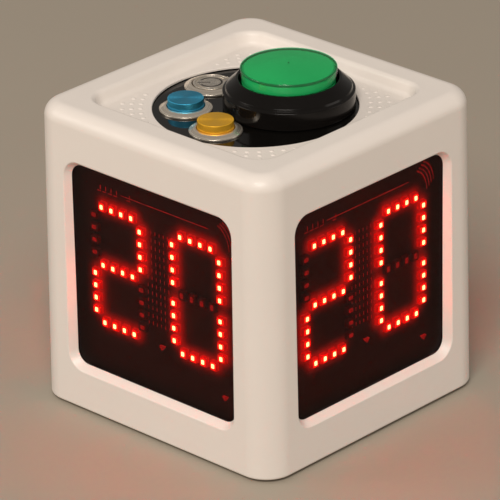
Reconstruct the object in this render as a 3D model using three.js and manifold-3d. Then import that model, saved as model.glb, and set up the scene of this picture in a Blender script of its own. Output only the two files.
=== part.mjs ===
// A four-sided cube countdown clock: a white casing with a lit display in each side and four push
// buttons in a dished top. Millimetres, +Z up. The origin lies on the table under the middle of the
// cube, and the front is -Y.
import * as THREE from "three";
import { mergeVertices } from "three/addons/utils/BufferGeometryUtils.js";
import Module from "manifold-3d";

const wasm = await Module();
wasm.setup();

// ---------------------------------------------------------------- driving dimensions

const GAP = 0.3; // clearance between two parts that meet
const SIDES = ["front", "right", "rear", "left"]; // each a quarter turn about Z from the last

const CASING = {
  topHalf: 52.5, // half width at the top
  bottomHalf: 53.25, // half width at the bottom: the sides have draft
  low: 1.0,
  high: 108.45,
  corner: 10.4, // radius of the upright corners
  topFillet: 5.4,
  bottomFillet: 0.8,
  hollowHalf: 50.2,
  hollowCorner: 8.0,
  ceiling: 105.4,
};

const DISH = { floor: 104.0, floorHalf: 38.3, rimHalf: 39.4, corner: 6.0, thickness: 3.6, wall: 3.0 };

const PANEL = { radius: 38.2, low: 100.9, high: 102.9, opening: 34.3 };

const WINDOW = { halfWidth: 36.4, halfHeight: 36.55, centre: 53.2, corner: 4.7, bevelSlope: 0.668 };

const LENS = { front: 49.9, thickness: 0.8, half: 38.6, corner: 5.0 };

const BOARD = { front: 47.2, thickness: 1.6, halfWidth: 42.2, low: 15.1, high: 93.1 };

const DIGIT = {
  offset: 18.0, // each digit's middle from the middle of its face
  middle: 55.1,
  halfWidth: 10.6, // middle of the digit to its upright segments
  rise: 21.15, // middle bar to the top and bottom bars
  segmentLength: 16.5, // a row of four lamps
  segmentWidth: 3.5,
  segmentHeight: 1.6, // above the board
};

const INDICATORS = [
  { x: 1.0, z: 32.6 },
  { x: 29.4, z: 23.3 },
];
const INDICATOR_SIZE = 2.2;
const INDICATOR_HEIGHT = 1.0;
const CONNECTOR = { halfWidth: 10, low: 36, high: 41, depth: 4 }; // on the back of each display board

const BASE = { low: 1.6, high: 4.2 };
const FOOT = { spread: 34, radius: 6, top: 1.3 };
const BASE_SCREW = { spread: 44, shank: 1.5, head: 2.75, seat: 3.0, length: 9 };
const PANEL_SCREW = { spread: 31.5, shank: 1.1, head: 2.2, length: 4.2 };
const BOARD_SCREW = { shank: 1.1, head: 2.2, length: 7 };
const SCREW_HEAD_HEIGHT = 1.3;
const SIDE_RIB = { halfWidth: 15 }; // the display boards stand on ribs of the base
const REAR_RIB = { x: 22, halfWidth: 6 }; // the rear one leaves room for the inlet
const POST = { inner: 41.0, low: 4.5, skin: 51.0, skinCorner: 8.9 };

const BATTERY = { length: 70, halfWidth: 18.5, halfHeight: 9.4, y: 15.5, z: 14.0 };
const BATTERY_STOP = { x: 36.2, halfThickness: 0.8, front: 3, back: 26, high: 11 };
const MAIN_BOARD = { halfX: 43, halfY: 34, low: 30.3, thickness: 1.6, standoffX: 39.5, standoffY: 30 };
const STANDOFF = { radius: 3, pin: 1.1, pinHeight: 2.6, hole: 1.4, holeDepth: 8 };
const SPEAKER = { y: -24, radius: 13, low: 4.5, grilleHole: 1.3, grilleRing: 6 };
const INLET = { z: 8.95, halfWidth: 4.47, halfHeight: 1.63, rear: 45.6, front: 52.9 };
const CHARGE_BOARD = { halfWidth: 10, front: 36, rear: 49, thickness: 1.2 };
const PEDESTAL = { x: 7.5, halfWidth: 1.5, front: 37, rear: 44, high: 5.5 }; // under the charge board

const GREEN = {
  x: 7.0,
  y: 8.8,
  bezel: 22.1,
  mouth: 16.7,
  cap: 16.2,
  barrel: 12.0,
  bore: 10.3,
  stem: 9.8,
  stemBore: 8.0,
  barrelEnd: -22,
  hingeX: -7, // the microswitch lever's hinge, from the button's axis
  hingeZ: -30.6,
  leverAngle: 0.1975, // how far the lever stands up from the level when it is not pressed
  leverLength: 17.1,
};

const SMALL = {
  flange: 8.9,
  flangeTop: 7.8,
  mouth: 6.35,
  barrel: 6.9,
  barrelEnd: -16,
  springFloor: -6,
  nutAcrossFlats: 17,
};
const SMALL_BUTTONS = [
  { name: "blue", x: -17.0, y: -15.6, cap: 6.05, capTop: 4.3, capLow: 0.2 },
  { name: "gold", x: 3.1, y: -22.4, cap: 6.05, capTop: 4.3, capLow: 0.2 },
  { name: "power", x: -23.9, y: 3.6, cap: 5.95, capTop: 1.7, capLow: -0.4 },
];

const NUT_SPAN = { green: [-7.3, -2.3], small: [-6.3, -2.3] }; // heights from the panel's top

const CORNER_STEPS = 5;
const ROUND = 36; // sides of a large turned part
const MIDDLE_ROUND = 20;
const SMALL_ROUND = 16;
const SCREW_SIDES = 10;
const TINY_ROUND = 8;

// ---------------------------------------------------------------- materials

function paint(color, roughness, metalness = 0) {
  return new THREE.MeshStandardMaterial({ color, roughness, metalness });
}

const MATERIALS = {
  white: () => paint(0xe6dccf, 0.35),
  blackGloss: () => paint(0x0b0b0c, 0.08),
  black: () => paint(0x161617, 0.45),
  smoked: () => paint(0x1a0604, 0.06),
  circuit: () => paint(0x0d100e, 0.5),
  rubber: () => paint(0x1c1c1c, 0.85),
  green: () => paint(0x1fa060, 0.15),
  blue: () => paint(0x1878a8, 0.3, 0.9),
  gold: () => paint(0xc8921e, 0.3, 0.9),
  steel: () => paint(0xb9b6b0, 0.28, 1),
  spring: () => paint(0x8d8f92, 0.35, 1),
  lamp: () => paint(0xe8f0e4, 0.3),
  wrap: () => paint(0x2c4f8c, 0.4),
};

// ---------------------------------------------------------------- solids

function toSolid(geometry) {
  const bare = geometry.clone();
  bare.deleteAttribute("normal");
  bare.deleteAttribute("uv");
  const merged = mergeVertices(bare, 1e-4);
  return new wasm.Manifold(
    new wasm.Mesh({
      numProp: 3,
      vertProperties: new Float32Array(merged.attributes.position.array),
      triVerts: new Uint32Array(merged.index.array),
    }),
  );
}

function toGeometry(solid) {
  const mesh = solid.getMesh();
  const geometry = new THREE.BufferGeometry();
  geometry.setAttribute("position", new THREE.BufferAttribute(mesh.vertProperties, mesh.numProp));
  geometry.setIndex(new THREE.BufferAttribute(mesh.triVerts, 1));
  const faceted = geometry.toNonIndexed();
  faceted.computeVertexNormals();
  return faceted;
}

function join(...pieces) {
  return toGeometry(pieces.map(toSolid).reduce((whole, piece) => whole.add(piece)));
}

function cut(piece, ...tools) {
  return toGeometry(tools.map(toSolid).reduce((whole, tool) => whole.subtract(tool), toSolid(piece)));
}

function common(a, b) {
  return toGeometry(toSolid(a).intersect(toSolid(b)));
}

function block(x0, x1, y0, y1, z0, z1) {
  const box = new THREE.BoxGeometry(x1 - x0, y1 - y0, z1 - z0);
  return box.translate((x0 + x1) / 2, (y0 + y1) / 2, (z0 + z1) / 2);
}

function rod(radius, z0, z1, x = 0, y = 0, sides = TINY_ROUND) {
  const cylinder = new THREE.CylinderGeometry(radius, radius, z1 - z0, sides);
  return cylinder.rotateX(Math.PI / 2).translate(x, y, (z0 + z1) / 2);
}

// Turns a profile of [radius, z] pairs about the Z axis.
function turned(profile, sides = ROUND) {
  const points = profile.map(([radius, z]) => new THREE.Vector2(radius, z));
  return new THREE.LatheGeometry(points, sides).rotateX(Math.PI / 2);
}

// A ring of rectangular section about the Z axis.
function ring(inner, outer, z0, z1, sides = ROUND) {
  const profile = [
    [inner, z0],
    [outer, z0],
    [outer, z1],
    [inner, z1],
    [inner, z0],
  ];
  return turned(profile, sides);
}

// The outline of a rounded rectangle about the origin, anticlockwise.
function outline(halfX, halfY, radius) {
  const points = [];
  for (let corner = 0; corner < 4; corner += 1) {
    const centreX = (corner === 0 || corner === 3 ? 1 : -1) * (halfX - radius);
    const centreY = (corner < 2 ? 1 : -1) * (halfY - radius);
    for (let step = 0; step <= CORNER_STEPS; step += 1) {
      const angle = ((corner + step / CORNER_STEPS) * Math.PI) / 2;
      points.push(
        new THREE.Vector2(centreX + radius * Math.cos(angle), centreY + radius * Math.sin(angle)),
      );
    }
  }
  return points;
}

function plate(halfX, halfY, radius, z0, z1) {
  const shape = new THREE.Shape(outline(halfX, halfY, radius));
  const options = { depth: z1 - z0, bevelEnabled: false };
  return new THREE.ExtrudeGeometry(shape, options).translate(0, 0, z0);
}

// Joins rounded rectangles of [z, halfX, halfY, radius], from the lowest up, into one closed skin.
function loft(sections) {
  const rings = sections.map(([, halfX, halfY, radius]) => outline(halfX, halfY, radius));
  const count = rings[0].length;
  const positions = rings.flatMap((points, level) =>
    points.flatMap((point) => [point.x, point.y, sections[level][0]]),
  );
  const index = [];
  for (let level = 0; level < rings.length - 1; level += 1) {
    for (let i = 0; i < count; i += 1) {
      const a = level * count + i;
      const b = level * count + ((i + 1) % count);
      index.push(a, b, b + count, a, b + count, a + count);
    }
  }
  const top = (rings.length - 1) * count;
  for (let i = 1; i < count - 1; i += 1) {
    index.push(0, i + 1, i, top, top + i, top + i + 1);
  }
  const geometry = new THREE.BufferGeometry();
  geometry.setAttribute("position", new THREE.Float32BufferAttribute(positions, 3));
  geometry.setIndex(index);
  return geometry;
}

// Stands a flat shape up against the front: its z becomes the distance in front of the axis.
function facingFront(geometry, centreZ) {
  return geometry.rotateX(Math.PI / 2).translate(0, 0, centreZ);
}

// The same geometry on all four sides or in all four corners.
function aroundCube(make) {
  return SIDES.map((side, quarter) => make().rotateZ((quarter * Math.PI) / 2));
}

function atCorners(spread) {
  return [
    [spread, spread],
    [-spread, spread],
    [-spread, -spread],
    [spread, -spread],
  ];
}

function hexNut(acrossFlats, hole, z0, z1) {
  const corners = [];
  for (let i = 0; i < 6; i += 1) {
    const angle = (i * Math.PI) / 3;
    const reach = acrossFlats / Math.sqrt(3);
    corners.push(new THREE.Vector2(reach * Math.cos(angle), reach * Math.sin(angle)));
  }
  const shape = new THREE.Shape(corners);
  shape.holes.push(new THREE.Path().absarc(0, 0, hole, 0, 2 * Math.PI, true));
  const options = { depth: z1 - z0, bevelEnabled: false, curveSegments: SMALL_ROUND / 2 };
  return new THREE.ExtrudeGeometry(shape, options).translate(0, 0, z0);
}

class Coil extends THREE.Curve {
  constructor(radius, turns, z0, z1) {
    super();
    Object.assign(this, { radius, turns, z0, z1 });
  }

  getPoint(t, target = new THREE.Vector3()) {
    const angle = 2 * Math.PI * this.turns * t;
    const z = this.z0 + (this.z1 - this.z0) * t;
    return target.set(this.radius * Math.cos(angle), this.radius * Math.sin(angle), z);
  }
}

function coilSpring(radius, wire, turns, z0, z1) {
  const section = new THREE.Shape().absarc(0, 0, wire, 0, 2 * Math.PI);
  return new THREE.ExtrudeGeometry(section, {
    curveSegments: 3,
    steps: turns * 8,
    extrudePath: new Coil(radius, turns, z0 + wire, z1 - wire),
    bevelEnabled: false,
  });
}

const clock = new THREE.Group();

function place(name, geometry, material, parent = clock) {
  const mesh = new THREE.Mesh(geometry, material);
  mesh.name = name;
  parent.add(mesh);
  return mesh;
}

// ---------------------------------------------------------------- casing

function casingSkin() {
  const { topHalf, bottomHalf, low, high, corner, topFillet, bottomFillet } = CASING;
  const sections = [];
  const bottomInset = bottomHalf - bottomFillet;
  sections.push([low, bottomInset, bottomInset, corner - bottomFillet]);
  sections.push([low + bottomFillet, bottomHalf, bottomHalf, corner]);
  const filletSteps = 5;
  for (let step = 0; step <= filletSteps; step += 1) {
    const angle = (step / filletSteps) * (Math.PI / 2);
    const inset = topFillet * (1 - Math.cos(angle));
    const z = high - topFillet * (1 - Math.sin(angle));
    sections.push([z, topHalf - inset, topHalf - inset, corner - inset]);
  }
  return loft(sections);
}

function dishSpace() {
  const { floor, floorHalf, rimHalf, corner } = DISH;
  const edge = 0.6;
  const above = CASING.high + 1;
  const lipHalf = rimHalf + 1.0;
  return loft([
    [floor, floorHalf, floorHalf, corner],
    [floor + edge, floorHalf + edge, floorHalf + edge, corner + edge],
    [CASING.high - 0.9, rimHalf, rimHalf, corner + 1.1],
    [CASING.high, lipHalf, lipHalf, corner + 2.1],
    [above, lipHalf, lipHalf, corner + 2.1],
  ]);
}

// The inside of the casing: its ceiling steps down round the dish.
function hollowSpace() {
  const { hollowHalf, hollowCorner, ceiling, low } = CASING;
  const dishOuter = DISH.rimHalf + DISH.wall;
  return cut(
    plate(hollowHalf, hollowHalf, hollowCorner, low - 1, ceiling),
    plate(dishOuter, dishOuter, DISH.corner + DISH.wall, DISH.floor - DISH.thickness, ceiling + 1),
  );
}

function windowSpace() {
  const { halfWidth, halfHeight, centre, corner, bevelSlope } = WINDOW;
  const inside = CASING.hollowHalf;
  const outside = CASING.bottomHalf + 1;
  const spread = (outside - inside) * bevelSlope;
  const sections = [
    [inside, halfWidth, halfHeight, corner],
    [outside, halfWidth + spread, halfHeight + spread, corner + spread],
  ];
  return facingFront(loft(sections), centre);
}

function cornerPost() {
  const { inner, low, skin, skinCorner } = POST;
  const reach = CASING.bottomHalf;
  return common(
    block(inner, reach, inner, reach, low, CASING.ceiling + 0.5),
    plate(skin, skin, skinCorner, 0, CASING.high - 1),
  );
}

// The slot across two posts that a display board slides up into.
function boardSlot() {
  const { front, thickness, halfWidth, high } = BOARD;
  return block(-halfWidth - GAP, halfWidth + GAP, -front - GAP, -front + thickness + GAP, 0, high + GAP);
}

function inletSlot() {
  const clearance = 0.7;
  const { halfWidth, halfHeight, z } = INLET;
  const slot = plate(
    halfWidth + clearance,
    halfHeight + clearance,
    halfHeight + clearance - 0.05,
    -CASING.bottomHalf - 1,
    -CASING.hollowHalf + 1,
  );
  return facingFront(slot, z);
}

function upperCasing() {
  const shell = cut(casingSkin(), dishSpace(), hollowSpace());
  const withPosts = join(shell, ...aroundCube(cornerPost));
  const rebate = rod(PANEL.radius + GAP, 0, PANEL.high + GAP, 0, 0, ROUND);
  const opening = rod(PANEL.opening, 0, CASING.high, 0, 0, ROUND);
  const panelHoles = atCorners(PANEL_SCREW.spread).map(([x, y]) =>
    rod(PANEL_SCREW.shank + GAP, DISH.floor - DISH.thickness - 1, DISH.floor - 1, x, y),
  );
  const baseHoles = atCorners(BASE_SCREW.spread).map(([x, y]) =>
    rod(BASE_SCREW.shank + GAP, POST.low - 1, BASE_SCREW.seat + BASE_SCREW.length + 1.5, x, y),
  );
  return cut(
    withPosts,
    rebate,
    opening,
    inletSlot(),
    ...aroundCube(windowSpace),
    ...aroundCube(boardSlot),
    ...panelHoles,
    ...baseHoles,
  );
}

function baseCover() {
  const half = CASING.hollowHalf - GAP;
  const floorPlate = plate(half, half, CASING.hollowCorner - GAP, BASE.low, BASE.high);
  const root = BASE.high - 0.5; // what stands on the plate starts inside it
  const boardTop = BOARD.low - GAP;
  const ribBack = -BOARD.front + BOARD.thickness;
  const reach = SIDE_RIB.halfWidth;
  const ribs = [0, 1, 3].map((quarter) =>
    block(-reach, reach, -BOARD.front, ribBack, root, boardTop).rotateZ((quarter * Math.PI) / 2),
  );
  const rearRibs = [-REAR_RIB.x, REAR_RIB.x].map((x) =>
    block(x - REAR_RIB.halfWidth, x + REAR_RIB.halfWidth, -ribBack, BOARD.front, root, boardTop),
  );
  const { standoffX, standoffY, low } = MAIN_BOARD;
  const standoffs = atCorners(1).map(([x, y]) =>
    rod(STANDOFF.radius, root, low - GAP, x * standoffX, y * standoffY),
  );
  const pins = [-1, 1].map((side) =>
    rod(STANDOFF.pin, low - 1, low + STANDOFF.pinHeight, side * standoffX, -side * standoffY),
  );
  const pilotHoles = [-1, 1].map((side) =>
    rod(STANDOFF.hole, low - STANDOFF.holeDepth, low + 1, side * standoffX, side * standoffY),
  );
  const { halfThickness, front, back, high } = BATTERY_STOP;
  const batteryStops = [-BATTERY_STOP.x, BATTERY_STOP.x].map((x) =>
    block(x - halfThickness, x + halfThickness, front, back, root, high),
  );
  const pedestals = [-PEDESTAL.x, PEDESTAL.x].map((x) =>
    block(
      x - PEDESTAL.halfWidth,
      x + PEDESTAL.halfWidth,
      PEDESTAL.front,
      PEDESTAL.rear,
      root,
      PEDESTAL.high,
    ),
  );
  const through = BASE.high + 1;
  const screwHoles = atCorners(BASE_SCREW.spread).flatMap(([x, y]) => [
    rod(BASE_SCREW.shank + GAP, 0, through, x, y),
    rod(BASE_SCREW.head + GAP, 0, BASE_SCREW.seat + GAP, x, y, SMALL_ROUND),
  ]);
  const { grilleHole, grilleRing, y: grilleY } = SPEAKER;
  const grille = [rod(grilleHole, 0, through, 0, grilleY)];
  for (let i = 0; i < 6; i += 1) {
    const angle = (i * Math.PI) / 3;
    const x = grilleRing * Math.cos(angle);
    grille.push(rod(grilleHole, 0, through, x, grilleY + grilleRing * Math.sin(angle)));
  }
  const built = join(
    floorPlate,
    ...ribs,
    ...rearRibs,
    ...standoffs,
    ...pins,
    ...batteryStops,
    ...pedestals,
  );
  return cut(built, ...screwHoles, ...grille, ...pilotHoles);
}

// A pan-head screw that points up, its head's underside at z = 0, with a cross recess below.
function screw({ head: headRadius, shank: shankRadius, length }) {
  const headHeight = SCREW_HEAD_HEIGHT;
  const profile = [
    [0, -headHeight],
    [headRadius * 0.75, -headHeight],
    [headRadius, -headHeight * 0.6],
    [headRadius, 0],
    [shankRadius, 0],
    [shankRadius, length - shankRadius],
    [0, length],
  ];
  const reach = headRadius * 0.5;
  const depth = headHeight * 0.5;
  const slotHalf = headRadius * 0.13;
  return cut(
    turned(profile, SCREW_SIDES),
    block(-reach, reach, -slotHalf, slotHalf, -headHeight - 1, -headHeight + depth),
    block(-slotHalf, slotHalf, -reach, reach, -headHeight - 1, -headHeight + depth),
  );
}

function addCasing() {
  place("upper_casing", upperCasing(), MATERIALS.white());
  place("base_cover", baseCover(), MATERIALS.black());
  atCorners(BASE_SCREW.spread).forEach(([x, y], i) => {
    const mesh = place(`base_screw_${i + 1}`, screw(BASE_SCREW), MATERIALS.steel());
    mesh.position.set(x, y, BASE_SCREW.seat);
  });
  atCorners(FOOT.spread).forEach(([x, y], i) => {
    const profile = [
      [0, 0],
      [FOOT.radius - 0.4, 0],
      [FOOT.radius, 0.4],
      [FOOT.radius, FOOT.top],
      [0, FOOT.top],
    ];
    const mesh = place(`rubber_foot_${i + 1}`, turned(profile, SMALL_ROUND), MATERIALS.rubber());
    mesh.position.set(x, y, 0);
  });
}

// ---------------------------------------------------------------- displays

function segment(x, z, upright) {
  const { segmentLength, segmentWidth, segmentHeight } = DIGIT;
  const halfX = (upright ? segmentWidth : segmentLength) / 2;
  const halfZ = (upright ? segmentLength : segmentWidth) / 2;
  const face = -BOARD.front;
  return block(x - halfX, x + halfX, face - segmentHeight, face + 0.5, z - halfZ, z + halfZ);
}

function digit(x) {
  const { halfWidth, rise, middle } = DIGIT;
  const bars = [-rise, 0, rise].map((shift) => segment(x, middle + shift, false));
  const uprights = [-halfWidth, halfWidth].flatMap((side) =>
    [-rise / 2, rise / 2].map((shift) => segment(x + side, middle + shift, true)),
  );
  return [...bars, ...uprights];
}

function displayBoard() {
  const { front, thickness, halfWidth, low, high } = BOARD;
  const sheet = block(-halfWidth, halfWidth, -front, -front + thickness, low, high);
  const half = INDICATOR_SIZE / 2;
  const indicators = INDICATORS.map(({ x, z }) =>
    block(x - half, x + half, -front - INDICATOR_HEIGHT, -front + 0.5, z - half, z + half),
  );
  const back = -front + thickness;
  const connector = block(
    -CONNECTOR.halfWidth,
    CONNECTOR.halfWidth,
    back - 0.5,
    back + CONNECTOR.depth,
    CONNECTOR.low,
    CONNECTOR.high,
  );
  return join(sheet, ...digit(-DIGIT.offset), ...digit(DIGIT.offset), ...indicators, connector);
}

function displayLens() {
  const { front, thickness, half, corner } = LENS;
  return facingFront(plate(half, half, corner, front - thickness, front), WINDOW.centre);
}

function addDisplays() {
  SIDES.forEach((side, quarter) => {
    const turn = new THREE.Group();
    turn.rotation.z = (quarter * Math.PI) / 2;
    place(`display_lens_${side}`, displayLens(), MATERIALS.smoked(), turn);
    place(`display_board_${side}`, displayBoard(), MATERIALS.circuit(), turn);
    clock.add(turn);
  });
}

// ---------------------------------------------------------------- control panel

// A drill right through the panel and the retainer below it.
function throughPanel(radius, x, y, sides) {
  return rod(radius, PANEL.low - 5, PANEL.high + 5, x, y, sides);
}

function controlPanel() {
  const holes = SMALL_BUTTONS.map(({ x, y }) =>
    throughPanel(SMALL.barrel + GAP, x, y, SMALL_ROUND),
  );
  return cut(
    rod(PANEL.radius, PANEL.low, PANEL.high, 0, 0, ROUND),
    throughPanel(GREEN.barrel + GAP, GREEN.x, GREEN.y, MIDDLE_ROUND),
    ...holes,
  );
}

const RETAINER = { half: 40.5, corner: 7, thickness: 1.6 };
const RETAINER_TOP = DISH.floor - DISH.thickness - GAP;
const RETAINER_LOW = RETAINER_TOP - RETAINER.thickness;

function panelRetainer() {
  const rib = ring(PANEL.radius - 3, PANEL.radius - 0.4, RETAINER_TOP - 0.5, PANEL.low - GAP);
  const holes = atCorners(PANEL_SCREW.spread).map(([x, y]) =>
    throughPanel(PANEL_SCREW.shank + GAP, x, y),
  );
  const frame = cut(
    plate(RETAINER.half, RETAINER.half, RETAINER.corner, RETAINER_LOW, RETAINER_TOP),
    throughPanel(PANEL.opening + 0.2, 0, 0, ROUND),
    ...holes,
  );
  return join(frame, rib);
}

function addPanel() {
  place("control_panel", controlPanel(), MATERIALS.blackGloss());
  place("panel_retainer", panelRetainer(), MATERIALS.black());
  atCorners(PANEL_SCREW.spread).forEach(([x, y], i) => {
    const mesh = place(`panel_retainer_screw_${i + 1}`, screw(PANEL_SCREW), MATERIALS.steel());
    mesh.position.set(x, y, RETAINER_LOW - GAP);
  });
}

// ---------------------------------------------------------------- green button
// Heights inside a button's group are measured from the panel's top surface.

function greenBody() {
  const { bezel, mouth, barrel, bore, barrelEnd } = GREEN;
  return turned([
    [bore, barrelEnd],
    [barrel, barrelEnd],
    [barrel, 1.3],
    [19.0, 1.3],
    [19.0, GAP],
    [bezel, GAP],
    [bezel, 6.6],
    [bezel - 1.0, 7.5],
    [mouth + 0.4, 10.85],
    [mouth, 10.6],
    [mouth, 3.0],
    [bore, 3.0],
    [bore, barrelEnd],
  ]);
}

function greenCap() {
  const { cap, stem, stemBore } = GREEN;
  const skirtLow = 6.5;
  const dome = turned([
    [stemBore, -8],
    [stem, -8],
    [stem, 12.3],
    [cap - 1.6, 12.3],
    [cap - 1.6, skirtLow],
    [cap, skirtLow],
    [cap, 13.7],
    [cap - 0.5, 14.3],
    [12.0, 14.95],
    [8.0, 15.45],
    [4.0, 15.72],
    [0, 15.8],
    [0, 13.4],
    [stemBore, 13.4],
    [stemBore, -8],
  ]);
  const leg = common(
    block(stemBore - 0.5, stem + 1, -2, 2, -26.7, -6),
    ring(stemBore, stem, -30, 0),
  );
  return join(dome, leg);
}

function greenLampHolder() {
  const core = rod(6, -25.5, -2, 0, 0, SMALL_ROUND);
  const flange = rod(13.5, -25.5, GREEN.barrelEnd - GAP, 0, 0, MIDDLE_ROUND);
  const bracket = block(-10, 10, 3.5, 5, -41, -25);
  const legNotch = block(GREEN.stemBore - 0.6, 15, -2.6, 2.6, -27, -20);
  return cut(join(core, flange, bracket), legNotch);
}

function greenLamp() {
  return turned(
    [
      [0, -2 + GAP],
      [4.2, -2 + GAP],
      [4.2, 0.4],
      [3.4, 0.6],
      [3.4, 2.6],
      [2.4, 3.7],
      [0, 4.2],
    ],
    SMALL_ROUND,
  );
}

function microswitch() {
  const { hingeX, hingeZ } = GREEN;
  const top = -31.5;
  const caseBlock = block(-8.5, 11.5, -3.2, 3.2, -42, top);
  const plunger = block(-1.2, 1.2, -1, 1, top - 1, top + 0.4);
  const blades = [-6, 1.5, 9].map((x) => block(x - 1.6, x + 1.6, -0.3, 0.3, -48, -41));
  const ears = [-1, 1].map((side) =>
    block(hingeX - 1.6, hingeX + 1.6, side * 2.85 - 0.35, side * 2.85 + 0.35, top - 1, hingeZ + 1.6),
  );
  const pinHole = new THREE.CylinderGeometry(0.9, 0.9, 10, TINY_ROUND).translate(hingeX, 0, hingeZ);
  return cut(join(caseBlock, plunger, ...blades, ...ears), pinHole);
}

// The lever lies along +X from its hinge pin, which is on the Y axis.
function switchLever() {
  const strip = block(0, GREEN.leverLength, -2, 2, -0.2, 0.2);
  const pin = new THREE.CylinderGeometry(0.6, 0.6, 6.2, TINY_ROUND);
  return join(strip, pin);
}

function addGreenButton() {
  const button = new THREE.Group();
  button.position.set(GREEN.x, GREEN.y, PANEL.high);
  clock.add(button);
  place("green_button_body", greenBody(), MATERIALS.blackGloss(), button);
  place("green_button_cap", greenCap(), MATERIALS.green(), button);
  const fit = GREEN.barrel + GAP; // what slides over the threaded barrel
  place("green_button_gasket", ring(fit + 0.1, 18.7, 0.1, 1.0), MATERIALS.rubber(), button);
  place("green_button_nut", hexNut(28, fit, ...NUT_SPAN.green), MATERIALS.black(), button);
  place("green_lamp_holder", greenLampHolder(), MATERIALS.black(), button);
  place("green_lamp", greenLamp(), MATERIALS.lamp(), button);
  place("green_microswitch", microswitch(), MATERIALS.black(), button);
  place("green_return_spring", coilSpring(12.2, 0.55, 4, 3.3, 12.0), MATERIALS.spring(), button);
  const lever = place("green_switch_lever", switchLever(), MATERIALS.spring(), button);
  lever.position.set(GREEN.hingeX, 0, GREEN.hingeZ);
  lever.rotation.y = -GREEN.leverAngle;
}

// ---------------------------------------------------------------- small metal buttons

function smallBody() {
  const { flange, flangeTop, mouth, barrel, barrelEnd, springFloor } = SMALL;
  const stemHole = 2.6;
  return turned(
    [
      [stemHole, barrelEnd],
      [barrel, barrelEnd],
      [barrel, 0.6],
      [flange, 0.6],
      [flange, 0.8],
      [flangeTop, 1.45],
      [mouth + 0.2, 1.6],
      [mouth, 1.4],
      [mouth, springFloor],
      [stemHole, springFloor],
      [stemHole, barrelEnd],
    ],
    MIDDLE_ROUND,
  );
}

function smallCap({ cap, capTop, capLow }) {
  return turned(
    [
      [0, -13],
      [2.2, -13],
      [2.2, capLow],
      [cap, capLow],
      [cap, capTop - 0.35],
      [cap - 0.35, capTop],
      [cap - 1.0, capTop],
      [cap - 1.2, capTop - 0.25],
      [0, capTop - 0.25],
    ],
    MIDDLE_ROUND,
  );
}

function contactBlock() {
  const housing = turned(
    [
      [0, -28],
      [6.2, -28],
      [6.6, -27],
      [6.6, SMALL.barrelEnd - GAP],
      [0, SMALL.barrelEnd - GAP],
    ],
    SMALL_ROUND,
  );
  const pins = [-4, 0, 4].map((x) => block(x - 0.9, x + 0.9, -0.3, 0.3, -34, -27));
  return join(housing, ...pins);
}

function addSmallButton(spec) {
  const button = new THREE.Group();
  button.position.set(spec.x, spec.y, PANEL.high);
  clock.add(button);
  const capMaterial = { blue: MATERIALS.blue, gold: MATERIALS.gold, power: MATERIALS.steel }[spec.name];
  const { springFloor, barrel, flange, nutAcrossFlats } = SMALL;
  const springTop = spec.capLow - GAP;
  place(`${spec.name}_button_body`, smallBody(), MATERIALS.steel(), button);
  place(`${spec.name}_button_cap`, smallCap(spec), capMaterial(), button);
  const gasket = ring(barrel + GAP, flange - 0.3, 0.1, 0.5, MIDDLE_ROUND);
  const nut = hexNut(nutAcrossFlats, barrel + GAP, ...NUT_SPAN.small);
  place(`${spec.name}_button_gasket`, gasket, MATERIALS.rubber(), button);
  place(`${spec.name}_button_nut`, nut, MATERIALS.steel(), button);
  place(`${spec.name}_contact_block`, contactBlock(), MATERIALS.black(), button);
  place(
    `${spec.name}_return_spring`,
    coilSpring(4.3, 0.4, 3, springFloor + GAP, springTop),
    MATERIALS.spring(),
    button,
  );
}

// ---------------------------------------------------------------- inside

function mainBoard() {
  const { halfX, halfY, low, thickness, standoffX, standoffY } = MAIN_BOARD;
  const top = low + thickness;
  const sheet = plate(halfX, halfY, 2, low, top);
  const parts = [
    block(-8, 8, -8, 8, top - 0.5, top + 2),
    block(20, 30, -6, 6, top - 0.5, top + 3),
    block(-32, -24, 8, 20, top - 0.5, top + 2),
    rod(4, top - 0.5, top + 10, 24, 16, SMALL_ROUND),
    rod(4, top - 0.5, top + 10, 14, 18, SMALL_ROUND),
  ];
  const sockets = SIDES.map((side, quarter) =>
    block(-8, 8, -31, -26, top - 0.5, top + 5).rotateZ((quarter * Math.PI) / 2),
  );
  const holes = atCorners(1).map(([x, y]) =>
    rod(STANDOFF.hole, low - 1, top + 1, x * standoffX, y * standoffY),
  );
  return cut(join(sheet, ...parts, ...sockets), ...holes);
}

function batteryPack() {
  const { length, halfWidth, halfHeight } = BATTERY;
  const pack = plate(halfHeight, halfWidth, halfHeight - 0.2, -length / 2, length / 2);
  return pack.rotateY(Math.PI / 2);
}

// A strap over the battery, with a foot on each side.
function batteryBracket() {
  const sheet = 1.2;
  const inner = BATTERY.halfWidth + GAP;
  const height = BATTERY.halfHeight + GAP;
  const floor = BASE.high + GAP - BATTERY.z;
  const foot = 6;
  const shape = new THREE.Shape();
  shape.moveTo(-inner - sheet - foot, floor);
  shape.lineTo(-inner, floor);
  shape.lineTo(-inner, height);
  shape.lineTo(inner, height);
  shape.lineTo(inner, floor);
  shape.lineTo(inner + sheet + foot, floor);
  shape.lineTo(inner + sheet + foot, floor + sheet);
  shape.lineTo(inner + sheet, floor + sheet);
  shape.lineTo(inner + sheet, height + sheet);
  shape.lineTo(-inner - sheet, height + sheet);
  shape.lineTo(-inner - sheet, floor + sheet);
  shape.lineTo(-inner - sheet - foot, floor + sheet);
  const width = 14;
  const strap = new THREE.ExtrudeGeometry(shape, { depth: width, bevelEnabled: false });
  return strap.rotateX(Math.PI / 2).rotateZ(Math.PI / 2);
}

function speaker() {
  const { radius, low } = SPEAKER;
  return turned(
    [
      [0, low + 2.7],
      [3, low + 2.7],
      [radius - 1.6, low + 0.7],
      [radius - 1.6, low],
      [radius, low],
      [radius, low + 1.7],
      [9, low + 5.3],
      [9, low + 9],
      [0, low + 9],
    ],
    SMALL_ROUND,
  );
}

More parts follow.
